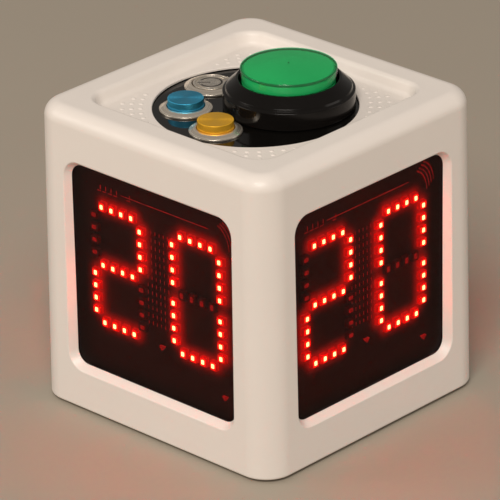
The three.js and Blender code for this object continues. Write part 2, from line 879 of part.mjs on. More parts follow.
// A flat metal sleeve, open at the rear of the casing, with a tongue inside.
function inletSocket() {
  const { halfWidth, halfHeight, rear, front, z } = INLET;
  const skin = 0.3;
  const depth = front - rear;
  const sleeve = plate(halfWidth, halfHeight, halfHeight - 0.03, 0, depth);
  const mouth = plate(
    halfWidth - skin,
    halfHeight - skin,
    halfHeight - skin - 0.03,
    1,
    depth + 1,
  );
  const tongue = block(-3.35, 3.35, -0.35, 0.35, 0.5, depth - 0.8);
  const socket = join(cut(sleeve, mouth), tongue);
  return socket.rotateX(-Math.PI / 2).translate(0, rear, z);
}

function chargeBoard() {
  const { halfWidth, front, rear, thickness } = CHARGE_BOARD;
  const top = INLET.z - INLET.halfHeight - GAP;
  const sheet = block(-halfWidth, halfWidth, front, rear, top - thickness, top);
  const chip = block(-4, 4, 37.5, 41.5, top - 0.5, top + 1.2);
  return join(sheet, chip);
}

function addInside() {
  place("main_board", mainBoard(), MATERIALS.circuit());
  const { standoffX, standoffY, low, thickness } = MAIN_BOARD;
  [-1, 1].forEach((side, i) => {
    const mesh = place(`main_board_screw_${i + 1}`, screw(BOARD_SCREW), MATERIALS.steel());
    mesh.position.set(side * standoffX, side * standoffY, low + thickness + GAP);
    mesh.rotation.x = Math.PI;
  });
  const battery = place("battery_pack", batteryPack(), MATERIALS.wrap());
  battery.position.set(0, BATTERY.y, BATTERY.z);
  const bracket = place("battery_bracket", batteryBracket(), MATERIALS.steel());
  bracket.position.set(-29, BATTERY.y, BATTERY.z);
  place("speaker", speaker(), MATERIALS.black()).position.y = SPEAKER.y;
  place("usb_socket", inletSocket(), MATERIALS.steel());
  place("charge_board", chargeBoard(), MATERIALS.circuit());
}

addCasing();
addDisplays();
addPanel();
addGreenButton();
SMALL_BUTTONS.forEach(addSmallButton);
addInside();

export default clock;
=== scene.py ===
import math

import bmesh
import bpy
from mathutils import Matrix, Vector


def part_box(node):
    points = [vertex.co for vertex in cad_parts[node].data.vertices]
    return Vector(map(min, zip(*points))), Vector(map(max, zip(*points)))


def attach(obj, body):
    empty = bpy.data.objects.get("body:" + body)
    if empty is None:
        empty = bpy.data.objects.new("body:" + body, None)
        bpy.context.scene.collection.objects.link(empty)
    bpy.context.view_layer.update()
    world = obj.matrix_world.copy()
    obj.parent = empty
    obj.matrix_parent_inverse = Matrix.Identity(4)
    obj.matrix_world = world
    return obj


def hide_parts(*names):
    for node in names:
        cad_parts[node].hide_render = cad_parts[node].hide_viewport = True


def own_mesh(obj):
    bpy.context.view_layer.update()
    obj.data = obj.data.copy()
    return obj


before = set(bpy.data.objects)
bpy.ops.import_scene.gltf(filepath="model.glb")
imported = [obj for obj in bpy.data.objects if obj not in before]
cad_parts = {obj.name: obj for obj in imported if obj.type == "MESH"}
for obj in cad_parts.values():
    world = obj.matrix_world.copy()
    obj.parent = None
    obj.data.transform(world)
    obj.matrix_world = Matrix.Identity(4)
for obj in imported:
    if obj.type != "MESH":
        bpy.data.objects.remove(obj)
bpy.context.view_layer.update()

MM = 0.001
SIDES = ("front", "right", "rear", "left")  # each a quarter turn about Z from the last


def box_mm(node):
    low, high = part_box(node)
    return low / MM, high / MM


def middle_mm(node):
    low, high = box_mm(node)
    return (low + high) / 2


# ---------------------------------------------------------------- camera

CAMERA = {
    "azimuth": 43.689,
    "elevation": 24.998,
    "roll": -1.105,
    "distance": 1567.0,
    "aim_height": 54.5,
    "pan_right": -2.71,
    "pan_up": -2.99,
    "lens": 336.6,
}


def make_camera():
    azimuth = math.radians(CAMERA["azimuth"])
    elevation = math.radians(CAMERA["elevation"])
    roll = math.radians(CAMERA["roll"])
    back = Vector((
        math.sin(azimuth) * math.cos(elevation),
        -math.cos(azimuth) * math.cos(elevation),
        math.sin(elevation),
    ))
    level_right = Vector((math.cos(azimuth), math.sin(azimuth), 0))
    level_up = back.cross(level_right)
    right = level_right * math.cos(roll) + level_up * math.sin(roll)
    up = level_up * math.cos(roll) - level_right * math.sin(roll)
    place = Vector((0, 0, CAMERA["aim_height"])) + back * CAMERA["distance"]
    place += right * CAMERA["pan_right"] + up * CAMERA["pan_up"]
    data = bpy.data.cameras.new("camera")
    data.lens = CAMERA["lens"]
    data.sensor_width = 36
    data.clip_end = 20
    camera = bpy.data.objects.new("camera", data)
    turn = Matrix((right, up, back)).transposed().to_4x4()
    camera.matrix_world = Matrix.Translation(place * MM) @ turn
    bpy.context.scene.collection.objects.link(camera)
    bpy.context.scene.camera = camera


make_camera()


# ---------------------------------------------------------------- meshes

def add_piece(name, verts, faces, material, body="casing", slot=None, replaces=(), smooth=35):
    """A closed mesh from points in millimetres, riding on a body of the clock."""
    mesh = bpy.data.meshes.new(name)
    mesh.from_pydata([Vector(v) * MM for v in verts], [], faces)
    return add_mesh(name, mesh, material, body, replaces, smooth)


def add_mesh(name, mesh, material, body="casing", replaces=(), smooth=35):
    built = bmesh.new()
    built.from_mesh(mesh)
    bmesh.ops.remove_doubles(built, verts=built.verts, dist=1e-7)
    bmesh.ops.recalc_face_normals(built, faces=built.faces)
    built.to_mesh(mesh)
    built.free()
    piece = bpy.data.objects.new(name, mesh)
    bpy.context.scene.collection.objects.link(piece)
    finish_piece(piece, material, body, replaces, smooth)
    return piece


def finish_piece(piece, material, body, replaces, smooth):
    piece.data.materials.clear()
    piece.data.materials.append(material)
    if smooth:
        piece.data.shade_smooth()
        piece.data.set_sharp_from_angle(angle=math.radians(smooth))
        weighted = piece.modifiers.new("even_normals", "WEIGHTED_NORMAL")
        weighted.keep_sharp = True
    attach(piece, body)
    if replaces:
        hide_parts(*replaces)


def rounded(points, steps=5):
    """Rounds each (x, y, radius) corner of an open line with an arc."""
    line = []
    for i, (x, y, radius) in enumerate(points):
        here = Vector((x, y))
        if radius <= 0 or i in (0, len(points) - 1):
            line.append((x, y))
            continue
        before = (Vector(points[i - 1][:2]) - here).normalized()
        after = (Vector(points[i + 1][:2]) - here).normalized()
        half_angle = before.angle(after) / 2
        reach = radius / math.tan(half_angle)
        centre = here + (before + after).normalized() * (radius / math.sin(half_angle))
        start = here + before * reach - centre
        sweep = start.angle_signed(here + after * reach - centre)
        for step in range(steps + 1):
            turn = -sweep * step / steps
            spoke = Vector((
                start.x * math.cos(turn) - start.y * math.sin(turn),
                start.x * math.sin(turn) + start.y * math.cos(turn),
            ))
            line.append(tuple(centre + spoke))
    return line


def lathe_points(profile, centre, segments, closed):
    """Turns an (r, z) profile about an upright axis. It ends on the axis, or is closed."""
    verts = []
    rings = []
    for radius, z in profile:
        if radius < 1e-5:
            rings.append([len(verts)])
            verts.append((centre[0], centre[1], z))
            continue
        rings.append(list(range(len(verts), len(verts) + segments)))
        for i in range(segments):
            angle = 2 * math.pi * i / segments
            x = centre[0] + radius * math.cos(angle)
            y = centre[1] + radius * math.sin(angle)
            verts.append((x, y, z))
    pairs = list(zip(rings, rings[1:]))
    if closed:
        pairs.append((rings[-1], rings[0]))
    faces = []
    for low, high in pairs:
        for i in range(segments):
            j = (i + 1) % segments
            if len(low) == 1 and len(high) == 1:
                break
            if len(low) == 1:
                faces.append((low[0], high[j], high[i]))
            elif len(high) == 1:
                faces.append((low[i], low[j], high[0]))
            else:
                faces.append((low[i], low[j], high[j], high[i]))
    return verts, faces


def lathe(name, profile, centre, material, segments=96, closed=False, **kept):
    verts, faces = lathe_points(profile, centre, segments, closed)
    return add_piece(name, verts, faces, material, **kept)


def corner_outline(half_x, half_y, radius, steps):
    points = []
    for corner in range(4):
        centre_x = (1 if corner in (0, 3) else -1) * (half_x - radius)
        centre_y = (1 if corner < 2 else -1) * (half_y - radius)
        for step in range(steps + 1):
            angle = (corner + step / steps) * math.pi / 2
            points.append((centre_x + radius * math.cos(angle), centre_y + radius * math.sin(angle)))
    return points


def loft_points(sections, steps=12):
    """A closed skin through rounded rectangles given as (z, half_x, half_y, radius)."""
    verts = []
    for z, half_x, half_y, radius in sections:
        verts += [(x, y, z) for x, y in corner_outline(half_x, half_y, radius, steps)]
    count = 4 * (steps + 1)
    faces = [tuple(reversed(range(count)))]
    for level in range(len(sections) - 1):
        for i in range(count):
            a = level * count + i
            b = level * count + (i + 1) % count
            faces.append((a, b, b + count, a + count))
    top = (len(sections) - 1) * count
    faces.append(tuple(range(top, top + count)))
    return verts, faces


def offset_sections(line, half_x, half_y, radius):
    """Sections of a rounded rectangle that grows and shrinks along a line of (offset, z)."""
    return [(z, half_x + grow, half_y + grow, radius + grow) for grow, z in line]


def tool(verts, faces, turn=None):
    """A mesh for carving with."""
    mesh = bpy.data.meshes.new("tool")
    mesh.from_pydata([Vector(v) * MM for v in verts], [], faces)
    if turn:
        mesh.transform(turn)
    built = bmesh.new()
    built.from_mesh(mesh)
    bmesh.ops.remove_doubles(built, verts=built.verts, dist=1e-7)
    bmesh.ops.recalc_face_normals(built, faces=built.faces)
    built.to_mesh(mesh)
    built.free()
    made = bpy.data.objects.new("tool", mesh)
    bpy.context.scene.collection.objects.link(made)
    return made


def carve(base, tools, operation="DIFFERENCE"):
    """Takes the tools out of the base, one after another, and returns the mesh that is left."""
    for cutter in tools:
        step = base.modifiers.new("carve", "BOOLEAN")
        step.operation = operation
        step.solver = "EXACT"
        step.object = cutter
    bpy.context.view_layer.update()
    shown = base.evaluated_get(bpy.context.evaluated_depsgraph_get())
    mesh = bpy.data.meshes.new_from_object(shown)
    for spent in (base, *tools):
        bpy.data.objects.remove(spent)
    return mesh


def quarter(i):
    return Matrix.Rotation(i * math.pi / 2, 4, "Z")


# ---------------------------------------------------------------- materials

class Shader:
    """A node material round one Principled shader."""

    def __init__(self, name, **inputs):
        self.material = bpy.data.materials.new(name)
        self.material.use_nodes = True
        self.tree = self.material.node_tree
        self.main = self.tree.nodes["Principled BSDF"]
        for key, value in inputs.items():
            self.main.inputs[key.replace("_", " ")].default_value = value

    def node(self, kind, **settings):
        made = self.tree.nodes.new(kind)
        for key, value in settings.items():
            setattr(made, key, value)
        return made

    def link(self, source, target):
        self.tree.links.new(source, target)

    def noise(self, scale, detail=3.0, roughness=0.55, coordinates="Object"):
        place = self.node("ShaderNodeTexCoord")
        noise = self.node("ShaderNodeTexNoise")
        noise.inputs["Scale"].default_value = scale
        noise.inputs["Detail"].default_value = detail
        noise.inputs["Roughness"].default_value = roughness
        self.link(place.outputs[coordinates], noise.inputs["Vector"])
        return noise.outputs["Fac"]

    def spread(self, source, low, high, start=0.3, end=0.7):
        """Spreads a 0-1 pattern over the range from low to high."""
        span = self.node("ShaderNodeMapRange")
        span.inputs["From Min"].default_value = start
        span.inputs["From Max"].default_value = end
        span.inputs["To Min"].default_value = low
        span.inputs["To Max"].default_value = high
        self.link(source, span.inputs["Value"])
        return span.outputs["Result"]

    def ramp(self, source, stops):
        ramp = self.node("ShaderNodeValToRGB")
        elements = ramp.color_ramp.elements
        while len(elements) < len(stops):
            elements.new(0.5)
        for element, (position, color) in zip(elements, stops):
            element.position = position
            element.color = color
        self.link(source, ramp.inputs["Fac"])
        return ramp.outputs["Color"]

    def bump(self, height, distance, strength=1.0, under=None):
        bump = self.node("ShaderNodeBump")
        bump.inputs["Strength"].default_value = strength
        bump.inputs["Distance"].default_value = distance
        self.link(height, bump.inputs["Height"])
        if under:
            self.link(under, bump.inputs["Normal"])
        self.link(bump.outputs["Normal"], self.main.inputs["Normal"])
        return bump.outputs["Normal"]

    def radius(self):
        """Distance from the middle of the piece's own box, 0 at the axis and about 1 at the rim."""
        place = self.node("ShaderNodeTexCoord")
        shift = self.node("ShaderNodeMapping")
        shift.inputs["Location"].default_value = (-1, -1, 0)
        shift.inputs["Scale"].default_value = (2, 2, 0)
        length = self.node("ShaderNodeVectorMath", operation="LENGTH")
        self.link(place.outputs["Generated"], shift.inputs["Vector"])
        self.link(shift.outputs["Vector"], length.inputs[0])
        return length.outputs["Value"]

    def lathe_grain(self):
        """Streaks the shine across marks that run round the axis."""
        tangent = self.node("ShaderNodeTangent", direction_type="RADIAL", axis="Z")
        self.link(tangent.outputs["Tangent"], self.main.inputs["Tangent"])

    def rings(self, scale, detail=4.0):
        """Fine concentric turning marks."""
        noise = self.node("ShaderNodeTexNoise", noise_dimensions="1D")
        noise.inputs["Scale"].default_value = scale
        noise.inputs["Detail"].default_value = detail
        noise.inputs["Roughness"].default_value = 0.7
        self.link(self.radius(), noise.inputs["W"])
        return noise.outputs["Fac"]


def moulded(name, color, roughness, grain=900.0, depth=0.00001, coat=0.0, mottling=0.04, shine=0.5):
    """Injection-moulded plastic: a faint mottled colour, uneven gloss and a fine skin."""
    shader = Shader(
        name, Roughness=roughness, Coat_Weight=coat, Coat_Roughness=0.06, Specular_IOR_Level=shine
    )
    patches = shader.noise(38.0, 4.0)
    dark = tuple(c * (1 - mottling) for c in color[:3]) + (1,)
    light = tuple(min(1, c * (1 + mottling)) for c in color[:3]) + (1,)
    shader.link(shader.ramp(patches, [(0.3, dark), (0.7, light)]), shader.main.inputs["Base Color"])
    gloss = shader.spread(shader.noise(120.0, 5.0), roughness * 0.8, roughness * 1.25)
    shader.link(gloss, shader.main.inputs["Roughness"])
    swell = shader.bump(shader.noise(70.0, 2.0), 0.00004, 0.35)
    shader.bump(shader.noise(grain, 4.0), depth, 1.0, swell)
    return shader.material


def turned_metal(name, dark, light, roughness, rings=26.0, depth=0.00002, metallic=1.0):
    """Metal with lathe marks, brighter and darker from ring to ring."""
    shader = Shader(name, Metallic=metallic, Roughness=roughness, Anisotropic=0.75)
    shader.lathe_grain()
    marks = shader.rings(rings)
    shader.link(shader.ramp(marks, [(0.3, dark), (0.7, light)]), shader.main.inputs["Base Color"])
    gloss = shader.spread(marks, roughness * 0.7, roughness * 1.4)
    shader.link(gloss, shader.main.inputs["Roughness"])
    shader.bump(marks, depth, 0.6)
    return shader.material


def drawn_metal(name, dark, light, roughness):
    """Sheet or wire metal with a fine streaked grain."""
    shader = Shader(name, Metallic=1.0, Roughness=roughness)
    grain = shader.noise(1400.0, 6.0, 0.7)
    shader.link(shader.ramp(grain, [(0.3, dark), (0.7, light)]), shader.main.inputs["Base Color"])
    gloss = shader.spread(grain, roughness * 0.75, roughness * 1.3)
    shader.link(gloss, shader.main.inputs["Roughness"])
    shader.bump(grain, 0.000006, 0.7)
    return shader.material


def glowing(name, inner, outer, strength, roughness=0.3):
    """A part that sends out red light, its colour wandering a little between two reds: a lamp for the lit
    diodes, painted glow for the parts that are no lamp.
    """
    shader = Shader(name, Roughness=roughness, Emission_Strength=strength)
    color = shader.ramp(shader.noise(900.0, 2.0), [(0.35, outer), (0.65, inner)])
    shader.link(color, shader.main.inputs["Emission Color"])
    shader.link(color, shader.main.inputs["Base Color"])
    return shader.material


def clear_sheet(name, tint, roughness=0.03, swell=60.0, mirror=0.04):
    """Thin clear plastic: each face it has tints what is behind it and mirrors a little."""
    material = bpy.data.materials.new(name)
    material.use_nodes = True
    tree = material.node_tree
    tree.nodes.clear()
    new = tree.nodes.new
    link = tree.links.new
    out = new("ShaderNodeOutputMaterial")
    through = new("ShaderNodeBsdfTransparent")
    gloss = new("ShaderNodeBsdfGlossy")
    gloss.inputs["Color"].default_value = (1, 1, 1, 1)
    gloss.inputs["Roughness"].default_value = roughness
    mix = new("ShaderNodeMixShader")
    place = new("ShaderNodeTexCoord")
    noise = new("ShaderNodeTexNoise")
    noise.inputs["Scale"].default_value = swell
    link(place.outputs["Object"], noise.inputs["Vector"])
    shade = new("ShaderNodeValToRGB")
    shade.color_ramp.elements[0].position = 0.3
    shade.color_ramp.elements[1].position = 0.7
    shade.color_ramp.elements[0].color = tuple(c * 0.97 for c in tint) + (1,)
    shade.color_ramp.elements[1].color = tint + (1,)
    link(noise.outputs["Fac"], shade.inputs["Fac"])
    link(shade.outputs["Color"], through.inputs["Color"])
    bump = new("ShaderNodeBump")
    bump.inputs["Distance"].default_value = 0.00001
    bump.inputs["Strength"].default_value = 0.3
    link(noise.outputs["Fac"], bump.inputs["Height"])
    link(bump.outputs["Normal"], gloss.inputs["Normal"])
    # Schlick's share of mirrored light, the same from both sides of a face
    facing = new("ShaderNodeLayerWeight")
    facing.inputs["Blend"].default_value = 0.5
    rise = new("ShaderNodeMath")
    rise.operation = "POWER"
    rise.inputs[1].default_value = 5.0
    share = new("ShaderNodeMath")
    share.operation = "MULTIPLY_ADD"
    share.inputs[1].default_value = 24 * mirror * (1 - mirror)
    share.inputs[2].default_value = mirror
    link(facing.outputs["Facing"], rise.inputs[0])
    link(rise.outputs[0], share.inputs[0])
    link(share.outputs[0], mix.inputs["Fac"])
    link(through.outputs["BSDF"], mix.inputs[1])
    link(gloss.outputs["BSDF"], mix.inputs[2])
    link(mix.outputs["Shader"], out.inputs["Surface"])
    return material


WHITE = moulded("white_plastic", (0.825, 0.757, 0.703), 0.42, depth=0.000004, coat=0.08, mottling=0.01)
BLACK_GLOSS = moulded("black_gloss", (0.006, 0.005, 0.0045), 0.16, depth=0.000002, mottling=0.2, shine=0.2)
PANEL_GLOSS = moulded("panel_gloss", (0.004, 0.0035, 0.003), 0.06, depth=0.000001, mottling=0.2, shine=0.32)
BLACK = moulded("black_matt", (0.022, 0.022, 0.024), 0.5, grain=2600.0, depth=0.00003, mottling=0.15)
RUBBER = moulded("rubber", (0.018, 0.018, 0.018), 0.85, grain=1800.0, depth=0.00004, mottling=0.25)
LAMP = moulded("lamp_diffuser", (0.80, 0.86, 0.80), 0.4, mottling=0.03)
WRAP = moulded("battery_film", (0.03, 0.10, 0.32), 0.3, coat=0.4, mottling=0.08)
CIRCUIT = moulded("solder_mask", (0.010, 0.007, 0.006), 0.45, grain=2200.0, mottling=0.2)
ENAMEL = moulded("engraving_enamel", (0.02, 0.014, 0.01), 0.4, mottling=0.2)
STEEL = turned_metal("turned_steel", (0.74, 0.68, 0.60, 1), (0.93, 0.87, 0.78, 1), 0.27)
BRIGHT_STEEL = turned_metal(
    "bright_steel", (0.60, 0.53, 0.45, 1), (1.0, 0.92, 0.80, 1), 0.20, metallic=0.84
)
BLUE = turned_metal("blue_anodised", (0.035, 0.34, 0.58, 1), (0.08, 0.48, 0.72, 1), 0.40, metallic=0.88)
GOLD = turned_metal("gold_anodised", (0.86, 0.41, 0.02, 1), (1.0, 0.60, 0.05, 1), 0.40, metallic=0.68)
WIRE = drawn_metal("spring_steel", (0.30, 0.30, 0.31, 1), (0.55, 0.55, 0.56, 1), 0.3)
PLATED = drawn_metal("plated_steel", (0.45, 0.44, 0.42, 1), (0.68, 0.67, 0.64, 1), 0.25)
SMOKED = clear_sheet("smoked_acrylic", (0.80, 0.46, 0.44), mirror=0.014)
GREEN = clear_sheet("clear_green", (0.40, 0.87, 0.64), 0.05, 40.0, mirror=0.02)
GREEN_MILK = moulded("milky_diffuser", (0.82, 0.84, 0.80), 0.5, mottling=0.02)
# Dark green for the cap's gate mark and for the ring of painted shade at the rim of its top.
GREEN_GATE_AND_RIM_SHADE = moulded("gate_and_painted_rim_shade", (0.10, 0.22, 0.13), 0.3, mottling=0.1)
LED_HOT = glowing("led_core", (1.0, 0.064, 0.026, 1), (1.0, 0.052, 0.020, 1), 140.0)
LED_RED = glowing("led_lit", (1.0, 0.035, 0.012, 1), (1.0, 0.012, 0.004, 1), 1.9)
# The lit diodes' housings are no lamps: their red glow is painted light from the diodes.
LED_BODY_PAINTED_GLOW = glowing("led_housing_painted_glow", (1.0, 0.012, 0.010, 1), (0.8, 0.006, 0.006, 1), 0.3)
# The unlit diodes and indicators are off: their faint red is painted glow.
LED_OFF_PAINTED_GLOW = glowing("led_unlit", (0.30, 0.008, 0.010, 1), (0.14, 0.004, 0.006, 1), 1.3)
LED_DARK = moulded("led_housing", (0.05, 0.003, 0.004), 0.5, mottling=0.2)
# The copper tracks are no lamps: their red glow is painted light.
TRACE_PAINTED_GLOW = glowing("copper_track", (0.30, 0.010, 0.012, 1), (0.12, 0.004, 0.005, 1), 1.5)

# ---------------------------------------------------------------- casing

CASING_LOW, CASING_HIGH = box_mm("upper_casing")
HALF_LOW = CASING_HIGH.x  # half width at the bottom
HALF_HIGH = HALF_LOW - 0.75  # and at the top: the sides have draft
CORNER = 10.4
TOP_FILLET = 5.4
BOTTOM_FILLET = 1.0
HOLLOW_HALF = 50.2
DISH_FLOOR = 104.0
OPENING_RADIUS = 34.3
PANEL_TOP = box_mm("control_panel")[1].z
PANEL_RADIUS = box_mm("control_panel")[1].x
LENS_LOW, LENS_HIGH = box_mm("display_lens_front")
WINDOW_MIDDLE = (LENS_LOW.z + LENS_HIGH.z) / 2
WINDOW_HALF = 36.4
WINDOW_CORNER = 4.7
BEVEL_WIDTH = 1.8
BEVEL_DEPTH = 2.7
ABOVE = 0.01  # how far a carving tool's flared lip ends above the face it rounds


def casing_skin():
    sections = []
    for step in range(6):
        angle = step / 5 * math.pi / 2
        inset = BOTTOM_FILLET * (1 - math.sin(angle))
        z = CASING_LOW.z + BOTTOM_FILLET * (1 - math.cos(angle))
        sections.append((z, HALF_LOW - inset, HALF_LOW - inset, CORNER - inset))
    fillet_steps = 14
    for step in range(fillet_steps + 1):
        angle = step / fillet_steps * math.pi / 2
        inset = TOP_FILLET * (1 - math.cos(angle))
        z = CASING_HIGH.z - TOP_FILLET * (1 - math.sin(angle))
        sections.append((z, HALF_HIGH - inset, HALF_HIGH - inset, CORNER - inset))
    return loft_points(sections, 14)


def dish_tool():
    line = rounded([
        (-5, DISH_FLOOR, 0),
        (-0.3, DISH_FLOOR, 2.2),
        (1.5, CASING_HIGH.z, 2.0),
        (9, CASING_HIGH.z, 0),
    ], 7)[1:-1]
    line = [(grow, z + (ABOVE if grow > 1.9 else 0)) for grow, z in line]
    line.append((line[-1][0], CASING_HIGH.z + 3))
    return tool(*loft_points(offset_sections(line, 38.6, 38.6, 6.6), 12))


def opening_tool():
    line = rounded([
        (0, 90, 0),
        (OPENING_RADIUS, 90, 0),
        (OPENING_RADIUS, DISH_FLOOR, 0.35),
        (OPENING_RADIUS + 4, DISH_FLOOR, 0),
    ], 4)[:-1]
    lip = line[-1][0]
    line[-1] = (lip, DISH_FLOOR + ABOVE)
    line += [(lip, DISH_FLOOR + 2), (0, DISH_FLOOR + 2)]
    return tool(*lathe_points(line, (0, 0), 144, False))


def window_tool(i):
    line = rounded([
        (0, -7, 0),
        (0, -BEVEL_DEPTH, 0.5),
        (BEVEL_WIDTH, 0, 0.6),
        (8, 0, 0),
    ], 4)[:-1]
    line[-1] = (line[-1][0], ABOVE)
    line.append((line[-1][0], 3))
    sections = offset_sections(line, WINDOW_HALF, WINDOW_HALF, WINDOW_CORNER)
    rise = CASING_HIGH.z - TOP_FILLET - CASING_LOW.z - BOTTOM_FILLET
    draft = math.atan((HALF_LOW - HALF_HIGH) / rise)
    share = (WINDOW_MIDDLE - CASING_LOW.z - BOTTOM_FILLET) / rise
    face = HALF_LOW + (HALF_HIGH - HALF_LOW) * share
    stand = Matrix.Rotation(math.pi / 2 - draft, 4, "X")
    shift = Matrix.Translation(Vector((0, -face, WINDOW_MIDDLE)) * MM)
    return tool(*loft_points(sections, 10), quarter(i) @ shift @ stand)


def inlet_tool():
    low, high = box_mm("usb_socket")
    clearance = 0.7
    half_x = (high.x - low.x) / 2 + clearance
    half_z = (high.z - low.z) / 2 + clearance
    sections = [(48, half_x, half_z, half_z - 0.02), (60, half_x, half_z, half_z - 0.02)]
    stand = Matrix.Rotation(-math.pi / 2, 4, "X")
    shift = Matrix.Translation(Vector((0, 0, (low.z + high.z) / 2)) * MM)
    return tool(*loft_points(sections, 8), shift @ stand)


def build_casing():
    skin = tool(*casing_skin())
    ceiling = DISH_FLOOR - 3.6
    hollow = tool(*loft_points([(-5, HOLLOW_HALF, HOLLOW_HALF, 8), (ceiling, HOLLOW_HALF, HOLLOW_HALF, 8)]))
    rebate = tool(*lathe_points(
        [(0, 90), (PANEL_RADIUS + 0.3, 90), (PANEL_RADIUS + 0.3, PANEL_TOP + 0.3), (0, PANEL_TOP + 0.3)],
        (0, 0), 96, False,
    ))
    windows = [window_tool(i) for i in range(4)]
    mesh = carve(skin, [hollow, dish_tool(), rebate, opening_tool(), inlet_tool(), *windows])
    add_mesh("casing_shell", mesh, WHITE, replaces=["upper_casing"], smooth=28)


def build_dots():
    """Small raised dots in the corners of the dish, on rings round the opening."""
    rings = (38.05, 41.1, 44.2)
    ray = 6.0  # degrees from one row of dots to the next
    reach = 35.4
    radius = 0.78
    dome = [(radius, 0.0), (radius * 0.9, 0.1), (radius * 0.65, 0.19), (radius * 0.3, 0.24), (0, 0.25)]
    verts = []
    faces = []
    for corner in range(4):
        for step in range(-4, 5):
            for ring in rings:
                angle = math.radians(45 + 90 * corner + ray * step)
                x = ring * math.cos(angle)
                y = ring * math.sin(angle)
                if max(abs(x), abs(y)) > reach:
                    continue
                dot, skin = lathe_points([(0, -0.2), (radius, -0.2), *dome], (x, y), 14, False)
                base = len(verts)
                verts += [(vx, vy, DISH_FLOOR + vz) for vx, vy, vz in dot]
                faces += [tuple(base + index for index in face) for face in skin]
    add_piece("grip_dots", verts, faces, WHITE, slot="shell_white", smooth=60)


# ---------------------------------------------------------------- displays

BOARD_LOW, BOARD_HIGH = box_mm("display_board_front")
BOARD_FACE = 47.2  # from the axis to the face that the lamps stand on
DIGIT_OFFSET = 18.0
DIGIT_MIDDLE = 55.1
DIGIT_HALF = 10.6
DIGIT_RISE = 21.15
LED_PITCH = 4.55
LED_SIZE = (2.9, 3.5)  # along and across its segment
LED_HEIGHT = 1.6
SEGMENTS = {
    "a": (0, DIGIT_RISE, False),
    "b": (DIGIT_HALF, DIGIT_RISE / 2, True),
    "c": (DIGIT_HALF, -DIGIT_RISE / 2, True),
    "d": (0, -DIGIT_RISE, False),
    "e": (-DIGIT_HALF, -DIGIT_RISE / 2, True),
    "f": (-DIGIT_HALF, DIGIT_RISE / 2, True),
    "g": (0, 0, False),
}
LIT = {"2": "abged", "0": "abcdef"}
INDICATORS = ((1.0, 32.6), (29.4, 23.3))


class Heap:
    """Several closed shapes that become one mesh. Its own axes are x across, y up, z outwards."""

    def __init__(self):
        self.verts = []
        self.faces = []

    def prism(self, outline, low, high, taper=0.0):
        """An upright prism on a flat outline, its top smaller all round by the taper."""
        centre = Vector((sum(p[0] for p in outline), sum(p[1] for p in outline))) / len(outline)
        base = len(self.verts)
        count = len(outline)
        self.verts += [(x, y, low) for x, y in outline]
        for x, y in outline:
            spoke = Vector((x, y)) - centre
            spoke *= 1 - taper / max(spoke.length, 1e-6)
            self.verts.append((centre.x + spoke.x, centre.y + spoke.y, high))
        self.faces.append(tuple(base + i for i in reversed(range(count))))
        self.faces.append(tuple(base + count + i for i in range(count)))
        for i in range(count):
            j = (i + 1) % count
            self.faces.append((base + i, base + j, base + count + j, base + count + i))

    def slab(self, x, y, half_x, half_y, low, high, radius=0.0, taper=0.0):
        if radius:
            outline = corner_outline(half_x, half_y, radius, 3)
        else:
            outline = [(half_x, half_y), (-half_x, half_y), (-half_x, -half_y), (half_x, -half_y)]
        self.prism([(x + px, y + py) for px, py in outline], low, high, taper)

    def place(self, name, material, side, slot, replaces=(), smooth=30):
        """Stands the heap up on one side of the cube: its z is the distance from the axis."""
        mesh = bpy.data.meshes.new(name)
        mesh.from_pydata([Vector(v) * MM for v in self.verts], [], self.faces)
        stand = Matrix.Rotation(math.pi / 2, 4, "X")
        mesh.transform(quarter(SIDES.index(side)) @ stand)
        return add_mesh(name, mesh, material, replaces=replaces, smooth=smooth)


def led_places():
    """(x, z, upright, lit) of each diode on a board that reads 20."""
    places = []
    for digit, middle in (("2", -DIGIT_OFFSET), ("0", DIGIT_OFFSET)):
        for segment, (shift_x, shift_z, upright) in SEGMENTS.items():
            for i in range(4):
                along = (i - 1.5) * LED_PITCH
                x = middle + shift_x + (0 if upright else along)
                z = DIGIT_MIDDLE + shift_z + (along if upright else 0)
                places.append((x, z, upright, segment in LIT[digit]))
    return places


def build_leds(side):
    housings = {True: Heap(), False: Heap()}
    faces = {True: Heap(), False: Heap()}
    cores = Heap()
    base = BOARD_FACE - 0.1
    rim = BOARD_FACE + LED_HEIGHT - 0.25
    for x, z, upright, lit in led_places():
        across, along = (LED_SIZE[1], LED_SIZE[0]) if upright else LED_SIZE
        half_x, half_z = across / 2, along / 2
        housings[lit].slab(x, z, half_x, half_z, base, rim, 0.25, 0.08)
        inset = 0.35 if lit else 0.7
        faces[lit].slab(x, z, half_x - inset, half_z - inset, rim - 0.1, rim + 0.12, 0.5, 0.1)
        if lit:
            cores.slab(x, z, 0.66, 0.82, rim, rim + 0.24, 0.3, 0.1)
    for lit, word in ((True, "lit"), (False, "unlit")):
        # The lit housings and the unlit windows carry painted red glow.
        body = LED_BODY_PAINTED_GLOW if lit else LED_DARK
        face = LED_RED if lit else LED_OFF_PAINTED_GLOW
        slot = "led_lit" if lit else "led_unlit"
        housings[lit].place(f"led_bodies_{word}_{side}", body, side, slot)
        faces[lit].place(f"led_windows_{word}_{side}", face, side, slot)
    cores.place(f"led_cores_{side}", LED_HOT, side, "led_lit", smooth=60)
    arrows = Heap()
    for x, z in INDICATORS:
        outline = [(x + 1.2, z + 0.7), (x - 1.2, z + 0.7), (x, z - 0.9)]
        arrows.prism(outline, base, BOARD_FACE + 1.0, 0.1)
    # The indicator diodes are off: their faint red is painted glow.
    arrows.place(f"indicator_diodes_{side}", LED_OFF_PAINTED_GLOW, side, "led_unlit")


